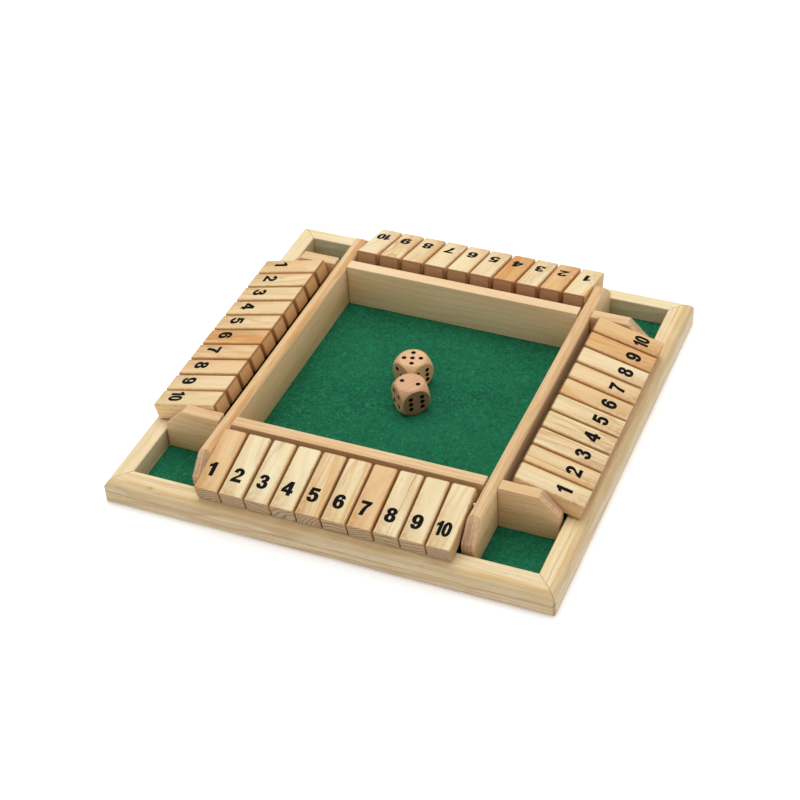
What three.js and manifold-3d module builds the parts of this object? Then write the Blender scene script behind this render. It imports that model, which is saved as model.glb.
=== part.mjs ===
// Four-sided shut the box game: a mitred pine tray lined with green felt, four walls round a dice
// arena, and ten numbered tiles a side that swing on a steel rod. Millimetres, +Z up. The origin is
// the middle of the tray's underside, +X is the right-hand player's side and +Y the back.
import * as THREE from 'three';
import { mergeVertices } from 'three/addons/utils/BufferGeometryUtils.js';
import Module from 'manifold-3d';

const wasm = await Module();
wasm.setup();

// Tray
const TRAY_CORNER_ROUND = 3;
const RAIL_WIDTH = 14.5;
const RAIL_HEIGHT = 16.4;
const RAIL_ROUND = 8.4;
const RAIL_FOOT_ROUND = 1.8;
const RAIL_EDGE_BREAK = 0.5;
const MITRE_GAP = 0.3;
const REBATE_DEPTH = 5;
const BASE_THICKNESS = 3.5;
const BASE_GAP = 0.3;
const FELT_THICKNESS = 1.2;
const FELT_MARGIN = 0.9;

// Walls
const WALL_THICKNESS = 8;
const WALL_HEIGHT = 30;
const WALL_END_GAP = 1.5;
const WALL_CHAMFER = 12.5;
const WALL_JOINT_GAP = 0.4;
const DIVIDER_CROWN = 3;
const WALL_EDGE_BREAK = 0.6;
const POCKET_DEPTH = 39;

// Rods
const ROD_DIAMETER = 3;
const ROD_SETBACK = 13.7;
const ROD_RISE = 14.3;
const ROD_SOCKET_DEPTH = 5;
const ROD_END_GAP = 0.3;
const ROD_SOCKET_CLEARANCE = 0.2;

// Tiles
const TILES_PER_ROW = 10;
const TILE_WIDTH = 15.1;
const TILE_GAP = 1.05;
const TILE_LENGTH = 44.7;
const TILE_THICKNESS = 11.4;
const TILE_TAIL = 8.6;
const TILE_EDGE_BREAK = 0.9;
const TILE_BORE_CLEARANCE = 0.35;
const TILE_REST_GAP = 0.3;
const ROW_END_GAP = 0.775;

// Dice
const DIE_SIDE = 19.3;
const DIE_BALL = 26.4;
const FRONT_DIE_X = 0.2;
const FRONT_DIE_Y = -5.4;
const FRONT_DIE_TURN = THREE.MathUtils.degToRad(45);
const REAR_DIE_X = -7.6;
const REAR_DIE_Y = 17.6;
const REAR_DIE_TURN = THREE.MathUtils.degToRad(-29.3);

// How finely round stretches are cut
const ARC_STEPS = 5;
const ROD_SIDES = 16;
const BORE_SIDES = 10;
const BALL_SEGMENTS = 24;
const CUT_OVERRUN = 2;

// Places that follow from the sizes above. A row of tiles sets how wide the arena is, and the tray
// fits round the walls and the pockets.
const TILE_PITCH = TILE_WIDTH + TILE_GAP;
const ARENA_SIDE = TILES_PER_ROW * TILE_PITCH - TILE_GAP + 2 * ROW_END_GAP;
const FELT_TOP = BASE_THICKNESS + FELT_THICKNESS;
const WALL_TOP = FELT_TOP + WALL_HEIGHT;
const ARENA_HALF = ARENA_SIDE / 2;
const WALL_MIDDLE = ARENA_HALF + WALL_THICKNESS / 2;
const WALL_OUTSIDE = ARENA_HALF + WALL_THICKNESS;
const POCKET_EDGE = WALL_OUTSIDE + POCKET_DEPTH;
const TRAY_HALF = POCKET_EDGE + RAIL_WIDTH;
const TRAY_SIDE = 2 * TRAY_HALF;
const WALL_END = POCKET_EDGE - WALL_END_GAP;
const ROD_OUT = WALL_OUTSIDE + ROD_SETBACK;
const ROD_UP = RAIL_HEIGHT + ROD_RISE;

// The tile's underside lies on the rail's rounded shoulder, so its tilt follows from where the rod
// is, seen from the middle of that rounding.
const SHOULDER_OUT = TRAY_HALF - RAIL_ROUND - ROD_OUT;
const SHOULDER_DOWN = ROD_UP - RAIL_HEIGHT + RAIL_ROUND;
const TILE_TILT =
  Math.acos((TILE_THICKNESS / 2 + RAIL_ROUND + TILE_REST_GAP) / Math.hypot(SHOULDER_OUT, SHOULDER_DOWN))
  - Math.atan2(SHOULDER_OUT, SHOULDER_DOWN);

function finish(color, roughness, metalness) {
  return new THREE.MeshStandardMaterial({ color, roughness, metalness });
}

const PINE = finish(0xe9cf9f, 0.6, 0);
const PLYWOOD = finish(0xd8bd8b, 0.7, 0);
const FELT = finish(0x23734f, 0.95, 0);
const STEEL = finish(0xc8c8c8, 0.3, 1);
const BEECH = finish(0xd9a67c, 0.55, 0);

function mesh(name, geometry, material) {
  const piece = new THREE.Mesh(geometry, material.clone());
  piece.name = name;
  return piece;
}

// A closed mesh as a solid that can be cut, and back again.
function solidOf(geometry) {
  const bare = geometry.clone();
  bare.deleteAttribute('normal');
  bare.deleteAttribute('uv');
  const merged = mergeVertices(bare);
  return new wasm.Manifold(new wasm.Mesh({
    numProp: 3,
    vertProperties: new Float32Array(merged.attributes.position.array),
    triVerts: new Uint32Array(merged.index.array),
  }));
}

function geometryOf(solid) {
  const { vertProperties, triVerts } = solid.getMesh();
  const geometry = new THREE.BufferGeometry();
  geometry.setAttribute('position', new THREE.BufferAttribute(vertProperties, 3));
  geometry.setIndex(new THREE.BufferAttribute(triVerts, 1));
  geometry.computeVertexNormals();
  return geometry;
}

// An outline in X and Y pulled along Z, centred on the origin along Z.
function bar(points, length) {
  const geometry = new THREE.ExtrudeGeometry(new THREE.Shape(points), {
    depth: length, bevelEnabled: false,
  });
  return geometry.translate(0, 0, -length / 2);
}

// Points on an arc round (cx, cy), from one angle in degrees to another, both included.
function arc(cx, cy, radius, from, to) {
  const points = [];
  for (let i = 0; i <= ARC_STEPS; i += 1) {
    const angle = THREE.MathUtils.degToRad(from + ((to - from) * i) / ARC_STEPS);
    points.push(new THREE.Vector2(cx + radius * Math.cos(angle), cy + radius * Math.sin(angle)));
  }
  return points;
}

function roundedSquare(side, radius) {
  const inset = side / 2 - radius;
  return [
    ...arc(inset, inset, radius, 0, 90),
    ...arc(-inset, inset, radius, 90, 180),
    ...arc(-inset, -inset, radius, 180, 270),
    ...arc(inset, -inset, radius, 270, 360),
  ];
}

// A rail's outline, as distance out from the tray's middle and height: a flat top that rolls over
// into the outer side, a rounded foot, and a rebate underneath that takes the base.
function railOutline() {
  const rebate = POCKET_EDGE + REBATE_DEPTH;
  return [
    new THREE.Vector2(POCKET_EDGE, BASE_THICKNESS),
    new THREE.Vector2(rebate, BASE_THICKNESS),
    new THREE.Vector2(rebate, 0),
    ...arc(TRAY_HALF - RAIL_FOOT_ROUND, RAIL_FOOT_ROUND, RAIL_FOOT_ROUND, -90, 0),
    ...arc(TRAY_HALF - RAIL_ROUND, RAIL_HEIGHT - RAIL_ROUND, RAIL_ROUND, 0, 90),
    new THREE.Vector2(POCKET_EDGE + RAIL_EDGE_BREAK, RAIL_HEIGHT),
    new THREE.Vector2(POCKET_EDGE, RAIL_HEIGHT - RAIL_EDGE_BREAK),
  ];
}

// The front rail. Each end point lies as far along the rail as it lies out from the tray's middle,
// less its share of the joint's gap, and that makes the mitre. The tray's corners are rounded.
function railGeometry() {
  const rail = bar(railOutline(), TRAY_SIDE);
  const place = rail.attributes.position;
  for (let i = 0; i < place.count; i += 1) {
    const out = place.getX(i);
    const along = Math.sign(place.getZ(i)) * (out - MITRE_GAP / Math.SQRT2);
    place.setXYZ(i, -along, -out, place.getY(i));
  }
  const plan = bar(roundedSquare(TRAY_SIDE, TRAY_CORNER_ROUND), RAIL_HEIGHT + 2 * CUT_OVERRUN)
    .translate(0, 0, RAIL_HEIGHT / 2);
  return geometryOf(solidOf(rail).intersect(solidOf(plan)));
}

// A wall along X, standing on the felt, with its middle line on Y = 0 and its top edges rounded.
function wallSolid(from, to, round) {
  const half = WALL_THICKNESS / 2;
  const section = bar([
    new THREE.Vector2(-half, FELT_TOP),
    new THREE.Vector2(half, FELT_TOP),
    ...arc(half - round, WALL_TOP - round, round, 0, 90),
    ...arc(round - half, WALL_TOP - round, round, 90, 180),
  ], to - from);
  section.rotateX(Math.PI / 2).rotateZ(Math.PI / 2);
  return solidOf(section.translate((from + to) / 2, 0, 0));
}

// What a 45 degree chamfer takes off the top of a wall's end; the sign says which way it faces.
function chamferSolid(sign) {
  const past = WALL_END + CUT_OVERRUN;
  const wedge = bar([
    new THREE.Vector2(sign * past, WALL_TOP - WALL_CHAMFER - CUT_OVERRUN),
    new THREE.Vector2(sign * past, WALL_TOP + CUT_OVERRUN),
    new THREE.Vector2(sign * (WALL_END - WALL_CHAMFER - CUT_OVERRUN), WALL_TOP + CUT_OVERRUN),
  ], WALL_THICKNESS + CUT_OVERRUN);
  return solidOf(wedge.rotateX(Math.PI / 2));
}

// The blind hole that takes a rod's end, in the wall face that looks along Y as the sign says.
function socketSolid(x, sign) {
  const radius = ROD_DIAMETER / 2 + ROD_SOCKET_CLEARANCE;
  const hole = new THREE.CylinderGeometry(radius, radius, ROD_SOCKET_DEPTH + CUT_OVERRUN, ROD_SIDES);
  const middle = WALL_THICKNESS / 2 + (CUT_OVERRUN - ROD_SOCKET_DEPTH) / 2;
  return solidOf(hole.translate(x, sign * middle, ROD_UP));
}

function dividerGeometry() {
  return geometryOf(wallSolid(-WALL_END, WALL_END, DIVIDER_CROWN)
    .subtract(chamferSolid(-1))
    .subtract(chamferSolid(1))
    .subtract(socketSolid(-ROD_OUT, 1))
    .subtract(socketSolid(ROD_OUT, 1)));
}

function stubGeometry(socketSign) {
  return geometryOf(wallSolid(WALL_OUTSIDE + WALL_JOINT_GAP, WALL_END, WALL_EDGE_BREAK)
    .subtract(chamferSolid(1))
    .subtract(socketSolid(ROD_OUT, socketSign)));
}

function crossWallGeometry() {
  const half = ARENA_HALF - WALL_JOINT_GAP;
  return geometryOf(wallSolid(-half, half, WALL_EDGE_BREAK));
}

function sheetGeometry(side, bottom, thickness) {
  return new THREE.BoxGeometry(side, side, thickness).translate(0, 0, bottom + thickness / 2);
}

function rodGeometry() {
  const length = ARENA_SIDE + 2 * (ROD_SOCKET_DEPTH - ROD_END_GAP);
  return new THREE.CylinderGeometry(ROD_DIAMETER / 2, ROD_DIAMETER / 2, length, ROD_SIDES)
    .rotateZ(Math.PI / 2);
}

// A tile about its rod: X runs across the row, -Y to the tile's outer end and +Z to its face. Its
// side outline is pulled across the row, and the bevel breaks every edge and eases the bore.
function tileGeometry() {
  const edge = TILE_EDGE_BREAK;
  const face = TILE_THICKNESS / 2;
  const outer = TILE_LENGTH - TILE_TAIL;
  const outline = new THREE.Shape([
    new THREE.Vector2(-TILE_TAIL + edge, -face),
    new THREE.Vector2(outer - edge, -face),
    new THREE.Vector2(outer, -face + edge),
    new THREE.Vector2(outer, face - edge),
    new THREE.Vector2(outer - edge, face),
    new THREE.Vector2(-TILE_TAIL + edge, face),
    new THREE.Vector2(-TILE_TAIL, face - edge),
    new THREE.Vector2(-TILE_TAIL, -face + edge),
  ]);
  // The bore is a regular polygon whose flats clear the rod.
  const boreRadius = (ROD_DIAMETER / 2 + TILE_BORE_CLEARANCE) / Math.cos(Math.PI / BORE_SIDES);
  const bore = new THREE.Path();
  for (let i = 0; i < BORE_SIDES; i += 1) {
    const angle = (-2 * Math.PI * i) / BORE_SIDES;
    const point = [boreRadius * Math.cos(angle), boreRadius * Math.sin(angle)];
    if (i === 0) bore.moveTo(...point);
    else bore.lineTo(...point);
  }
  bore.closePath();
  outline.holes.push(bore);
  const geometry = new THREE.ExtrudeGeometry(outline, {
    depth: TILE_WIDTH - 2 * edge,
    bevelEnabled: true,
    bevelThickness: edge,
    bevelSize: edge,
    bevelOffset: -edge,
    bevelSegments: 1,
  });
  geometry.translate(0, 0, edge - TILE_WIDTH / 2);
  return geometry.rotateX(Math.PI / 2).rotateZ(-Math.PI / 2);
}

// A die is a cube whose corners and edges are turned off by a ball.
function dieGeometry() {
  const cube = solidOf(new THREE.BoxGeometry(DIE_SIDE, DIE_SIDE, DIE_SIDE));
  const ball = solidOf(new THREE.SphereGeometry(DIE_BALL / 2, BALL_SEGMENTS, BALL_SEGMENTS / 2));
  return geometryOf(cube.intersect(ball));
}

// Four quarters of a turn, one for each side of the tray, starting at the front.
const SIDES = ['front', 'right', 'back', 'left'];

function turned(quarter, ...pieces) {
  const group = new THREE.Group();
  group.rotation.z = (quarter * Math.PI) / 2;
  group.add(...pieces);
  return group;
}

function makeTray() {
  const tray = new THREE.Group();
  const baseSide = 2 * (POCKET_EDGE + REBATE_DEPTH - BASE_GAP);
  const feltSide = 2 * (POCKET_EDGE - FELT_MARGIN);
  tray.add(mesh('base_board', sheetGeometry(baseSide, 0, BASE_THICKNESS), PLYWOOD));
  tray.add(mesh('felt_sheet', sheetGeometry(feltSide, BASE_THICKNESS, FELT_THICKNESS), FELT));
  const rail = railGeometry();
  SIDES.forEach((side, quarter) => tray.add(turned(quarter, mesh(`rail_${side}`, rail, PINE))));
  return tray;
}

// The dividers run from front to back with their rod sockets on the inside. The cross walls close
// the arena, and in line with them the stub walls close the corner pockets.
function makeWalls() {
  const walls = new THREE.Group();
  const divider = dividerGeometry();
  for (const [side, quarter] of [['right', 1], ['left', 3]]) {
    const piece = mesh(`divider_${side}`, divider, PINE);
    piece.position.y = -WALL_MIDDLE;
    walls.add(turned(quarter, piece));
  }
  const cross = crossWallGeometry();
  for (const [side, sign] of [['front', -1], ['back', 1]]) {
    const piece = mesh(`cross_wall_${side}`, cross, PINE);
    piece.position.y = sign * WALL_MIDDLE;
    walls.add(piece);
  }
  const stubs = [['front_right', 0, 1], ['back_left', 2, 1], ['back_right', 0, -1], ['front_left', 2, -1]];
  for (const [corner, quarter, socketSign] of stubs) {
    const piece = mesh(`stub_wall_${corner}`, stubGeometry(socketSign), PINE);
    piece.position.y = -socketSign * WALL_MIDDLE;
    walls.add(turned(quarter, piece));
  }
  return walls;
}

// One player's row, made for the front and turned to its side: a rod and the tiles that lie
// outwards over the rail, counted from the player's left.
function makeRow(side, quarter, rod, tile) {
  const pin = mesh(`rod_${side}`, rod, STEEL);
  pin.position.set(0, -ROD_OUT, ROD_UP);
  const row = turned(quarter, pin);
  for (let number = 1; number <= TILES_PER_ROW; number += 1) {
    const piece = mesh(`tile_${side}_${String(number).padStart(2, '0')}`, tile, PINE);
    const along = (number - (TILES_PER_ROW + 1) / 2) * TILE_PITCH;
    piece.position.set(along, -ROD_OUT, ROD_UP);
    piece.rotation.x = TILE_TILT;
    row.add(piece);
  }
  return row;
}

function makeDie(name, geometry, x, y, turn) {
  const die = mesh(name, geometry, BEECH);
  die.position.set(x, y, FELT_TOP + DIE_SIDE / 2);
  die.rotation.z = turn;
  return die;
}

const game = new THREE.Group();
game.add(makeTray(), makeWalls());
const rod = rodGeometry();
const tile = tileGeometry();
SIDES.forEach((side, quarter) => game.add(makeRow(side, quarter, rod, tile)));
const die = dieGeometry();
game.add(makeDie('die_front', die, FRONT_DIE_X, FRONT_DIE_Y, FRONT_DIE_TURN));
game.add(makeDie('die_rear', die, REAR_DIE_X, REAR_DIE_Y, REAR_DIE_TURN));

export default game;
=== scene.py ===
import math
import random

import bmesh
import bpy
from mathutils import Matrix, Vector, noise


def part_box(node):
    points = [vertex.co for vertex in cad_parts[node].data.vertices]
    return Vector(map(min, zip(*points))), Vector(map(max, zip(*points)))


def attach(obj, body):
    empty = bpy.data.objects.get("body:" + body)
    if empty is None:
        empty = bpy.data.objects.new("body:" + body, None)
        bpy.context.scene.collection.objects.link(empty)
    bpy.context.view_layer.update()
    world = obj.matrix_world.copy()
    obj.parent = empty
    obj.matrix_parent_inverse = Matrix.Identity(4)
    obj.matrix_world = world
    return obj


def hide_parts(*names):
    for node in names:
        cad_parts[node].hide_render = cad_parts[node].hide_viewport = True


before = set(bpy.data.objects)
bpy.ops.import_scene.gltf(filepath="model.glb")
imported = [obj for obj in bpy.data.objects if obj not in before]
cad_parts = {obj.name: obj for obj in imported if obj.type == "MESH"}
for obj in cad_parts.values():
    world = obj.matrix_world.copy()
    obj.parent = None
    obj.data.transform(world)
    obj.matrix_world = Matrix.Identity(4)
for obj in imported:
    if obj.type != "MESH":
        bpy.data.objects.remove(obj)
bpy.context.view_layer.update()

bl_info = {
    "name": "Four-sided shut the box game",
    "version": (1, 0, 0),
    "blender": (4, 5, 0),
    "location": "3D View > Sidebar > Shut the box",
    "description": "Makes a four-player shut the box game in pine, "
                   "with a felt floor, numbered tiles and two dice",
    "category": "Add Mesh",
}

MM = 0.001
SIDES = ("front", "right", "back", "left")
TILES_PER_ROW = 10
# Edges that turn by more degrees than this are drawn sharp
CREASE = 35.0


def length(name, description, millimetres):
    return bpy.props.FloatProperty(
        name=name, description=description, default=millimetres * MM, min=0, unit="LENGTH", precision=5,
    )


def colour(name, description, red, green, blue):
    return bpy.props.FloatVectorProperty(
        name=name, description=description, default=(red, green, blue), size=3, min=0, max=1, subtype="COLOR",
    )


class ShutBoxSizes(bpy.types.PropertyGroup):
    """The sizes a maker would change."""

    rail_round: length("Rail rounding", "Radius that rolls a rail's top into its outer side", 8.4)
    rail_foot_round: length("Rail foot rounding", "Radius along the foot of a rail's outer side", 1.8)
    rail_edge_break: length("Rail edge break", "Rounding of a rail's inner top edge", 0.8)
    rail_width: length("Rail width", "Width of a rail seen from above", 14.5)
    rebate_depth: length("Rebate depth", "How far the base reaches under a rail", 5)
    mitre_gap: length("Mitre gap", "Open joint between two rails", 0.16)
    corner_round: length("Corner rounding", "Radius of the tray's corners seen from above", 3)
    wall_chamfer: length("Wall chamfer", "Height of the chamfer at a wall's open end", 12.5)
    divider_crown: length("Divider crown", "Radius of a long wall's two top edges", 3)
    wall_edge_break: length("Wall edge break", "Rounding of the other walls' top edges", 0.5)
    wall_arris: length("Wall arris", "Rounding of a wall's other edges", 0.3)
    tile_width: length("Tile width", "Size of a tile along its row", 15.1)
    tile_thickness: length("Tile thickness", "Size of a tile through its face", 11.4)
    tile_length: length("Tile length", "Size of a tile along its grain", 44.7)
    tile_tail: length("Tile tail", "How far a tile reaches inwards past its rod", 8.6)
    tile_edge: length("Tile edge", "Rounding of a tile's long edges and inner end", 1.35)
    tile_end_edge: length("Tile end edge", "Rounding of the edges round a tile's outer end", 0.4)
    tile_inner_corner: length("Tile inner corner", "Rounding of a tile's inner corners seen from above", 1.9)
    tile_outer_corner: length("Tile outer corner", "Rounding of a tile's outer corners seen from above", 0.6)
    tile_bore: length("Tile bore", "Radius of the hole for the rod", 1.85)
    number_height: length("Number height", "Height of a painted figure before its strokes are thickened", 9.4)
    number_bold: length("Number boldness", "How far a figure's outline is moved outwards", 0.26)
    number_lift: length("Number lift", "How far the paint stands on the wood", 0.04)
    die_side: length("Die side", "Size of a die across its flat faces", 19.3)
    die_ball: length("Die ball", "Diameter of the ball that turns off a die's corners", 26.3)
    die_edge: length("Die edge", "Rounding of a die's edges", 0.7)
    pip_diameter: length("Pip diameter", "Size of a spot on a die", 3)
    pip_pitch: length("Pip pitch", "From the middle of a face to its outer spots, along each edge", 3.8)
    pip_depth: length("Pip depth", "How deep a spot is drilled", 0.6)


class ShutBoxColours(bpy.types.PropertyGroup):
    """The colours a maker would change."""

    pine: colour("Pine", "Early wood of the rails and tiles", 0.875, 0.745, 0.475)
    tan: colour("Tan pine", "Early wood of the darkest tiles", 0.74, 0.38, 0.11)
    pine_line: colour("Pine grain", "Late wood lines of the pine", 0.56, 0.33, 0.14)
    wall_pine: colour("Wall pine", "Early wood of the walls", 0.79, 0.56, 0.315)
    beech: colour("Beech", "Wood of the dice", 0.70, 0.43, 0.27)
    felt: colour("Felt", "Dyed felt of the floor", 0.010, 0.150, 0.068)
    ink: colour("Ink", "Paint of the numbers and spots", 0.006, 0.006, 0.006)


# Materials

UNTINTED = (1.0, 1.0, 1.0)


def tinted(colour, *shares):
    """The colour times one share, or times one share each for its red, green and blue."""
    return tuple(min(1.0, c * k) for c, k in zip(colour, shares * 3))


class Bench:
    """One material while its nodes are put together."""

    def __init__(self, name):
        self.material = bpy.data.materials.new(name)
        self.material.use_nodes = True
        self.tree = self.material.node_tree
        self.tree.nodes.clear()
        self.surface = self.tree.nodes.new("ShaderNodeBsdfPrincipled")
        output = self.tree.nodes.new("ShaderNodeOutputMaterial")
        self.tree.links.new(self.surface.outputs["BSDF"], output.inputs["Surface"])

    def put(self, socket, value):
        if isinstance(value, bpy.types.NodeSocket):
            self.tree.links.new(value, socket)
        elif value is not None:
            socket.default_value = value

    def node(self, kind, inputs=None, **settings):
        made = self.tree.nodes.new(kind)
        for key, value in settings.items():
            setattr(made, key, value)
        for key, value in (inputs or {}).items():
            self.put(made.inputs[key], value)
        return made

    def math(self, operation, *values):
        return self.node("ShaderNodeMath", dict(enumerate(values)), operation=operation).outputs[0]

    def times(self, product, *factors):
        for factor in factors:
            product = self.math("MULTIPLY", product, factor)
        return product

    def vector(self, operation, *values):
        made = self.node("ShaderNodeVectorMath", dict(enumerate(values)), operation=operation)
        return made.outputs["Value" if operation in ("DOT_PRODUCT", "LENGTH") else "Vector"]

    def axes(self, value):
        return self.node("ShaderNodeSeparateXYZ", {0: value}).outputs

    def facing(self):
        """How far the surface faces along each axis of its piece."""
        return self.axes(self.node("ShaderNodeTexCoord").outputs["Normal"])

    def worn(self):
        """One on the edges that wear_edges marked, nought elsewhere."""
        return self.node("ShaderNodeAttribute", attribute_name="worn").outputs["Fac"]

    def place(self, scale=(1 / MM,) * 3, **mapping):
        """Where a point lies on its piece, in millimetres unless another scale is given."""
        inputs = {"Vector": self.node("ShaderNodeTexCoord").outputs["Object"], "Scale": scale}
        inputs.update({key.capitalize(): value for key, value in mapping.items()})
        return self.node("ShaderNodeMapping", inputs).outputs[0]

    def radius(self, place):
        """How far a place lies from the X axis, as the rings of a log do from its heart."""
        y, z = self.axes(place)[1:]
        return self.math("SQRT", self.math("ADD", self.times(y, y), self.times(z, z)))

    def spread(self, value, low, high, to_low=0.0, to_high=1.0, kind="LINEAR"):
        return self.node(
            "ShaderNodeMapRange", {0: value, 1: low, 2: high, 3: to_low, 4: to_high}, interpolation_type=kind,
        ).outputs[0]

    def noise(self, place, scale=1.0, detail=2.0, roughness=0.5, distortion=0.0, output="Fac"):
        """Noise of one scale, or of one scale for each axis."""
        if isinstance(scale, tuple):
            place, scale = self.vector("MULTIPLY", place, scale), 1.0
        return self.node("ShaderNodeTexNoise", {
            "Vector": place, "Scale": scale, "Detail": detail, "Roughness": roughness, "Distortion": distortion,
        }).outputs[output]

    def wander(self, place, reach, *settings):
        """The place, moved about by noise that has these settings."""
        drift = self.vector("SUBTRACT", self.noise(place, *settings, output="Color"), (0.5, 0.5, 0.5))
        return self.vector("ADD", place, self.vector("MULTIPLY", drift, reach))

    def mix(self, factor, first, second, blend="MIX"):
        made = self.node("ShaderNodeMix", data_type="RGBA", blend_type=blend)
        self.put(made.inputs[0], factor)
        for socket, value in ((made.inputs[6], first), (made.inputs[7], second)):
            self.put(socket, value if isinstance(value, bpy.types.NodeSocket) else (*value, 1.0))
        return made.outputs[2]

    def stain(self, body, tint, value, low, high, strength=1.0):
        """The body, coloured by the tint more and more as the value goes from low to high."""
        return self.mix(self.spread(value, low, high, 0.0, strength), body, tint)

    def shade(self, body, mask, tint):
        """The body, multiplied by the tint where the mask says so."""
        return self.mix(mask, body, self.mix(1.0, body, tint, "MULTIPLY"))

    def bump(self, height, millimetres, strength, under=None):
        return self.node("ShaderNodeBump", {
            "Height": height, "Distance": millimetres * MM, "Strength": strength, "Normal": under,
        }).outputs[0]

    def texture(self, height, rough_low, rough_high, millimetres, strength):
        """Roughness between two values, and unevenness, that both follow the height."""
        return {
            "roughness": self.spread(height, 0.3, 0.7, rough_low, rough_high),
            "normal": self.bump(height, millimetres, strength),
        }

    def done(self, **values):
        for key, value in values.items():
            self.put(self.surface.inputs[key.replace("_", " ").title().replace("Ior", "IOR")], value)
        return self.material


# What a wood's own colour is multiplied by for its marks
TAN_CLOUD = (0.86, 0.70, 0.46)
WARM_BAND = (0.80, 0.56, 0.30)
DARK_LINE = (0.62, 0.50, 0.42)
# The next is partly wear and partly painted shade on the tiles' rounded edges
HANDLED_AND_SHADED = (0.62, 0.38, 0.19)
# The dark brown along the rim of a tile's inner end
INNER_RIM = (0.20, 0.075, 0.03)
# End grain of the rails and tiles, and that of the walls, which is paler
END_GRAIN = (0.36, 0.24, 0.135)
WALL_END = (0.60, 0.375, 0.21)
# A band that is narrower than this, in millimetres, is a dark line
LINE_WIDTH = 0.9
# The directions that bands are placed along, as shares across the grain and upwards
ACROSS = {"top": (1.0, 0.0), "side": (0.0, 1.0), "shoulder": (0.7, 0.7)}


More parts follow.
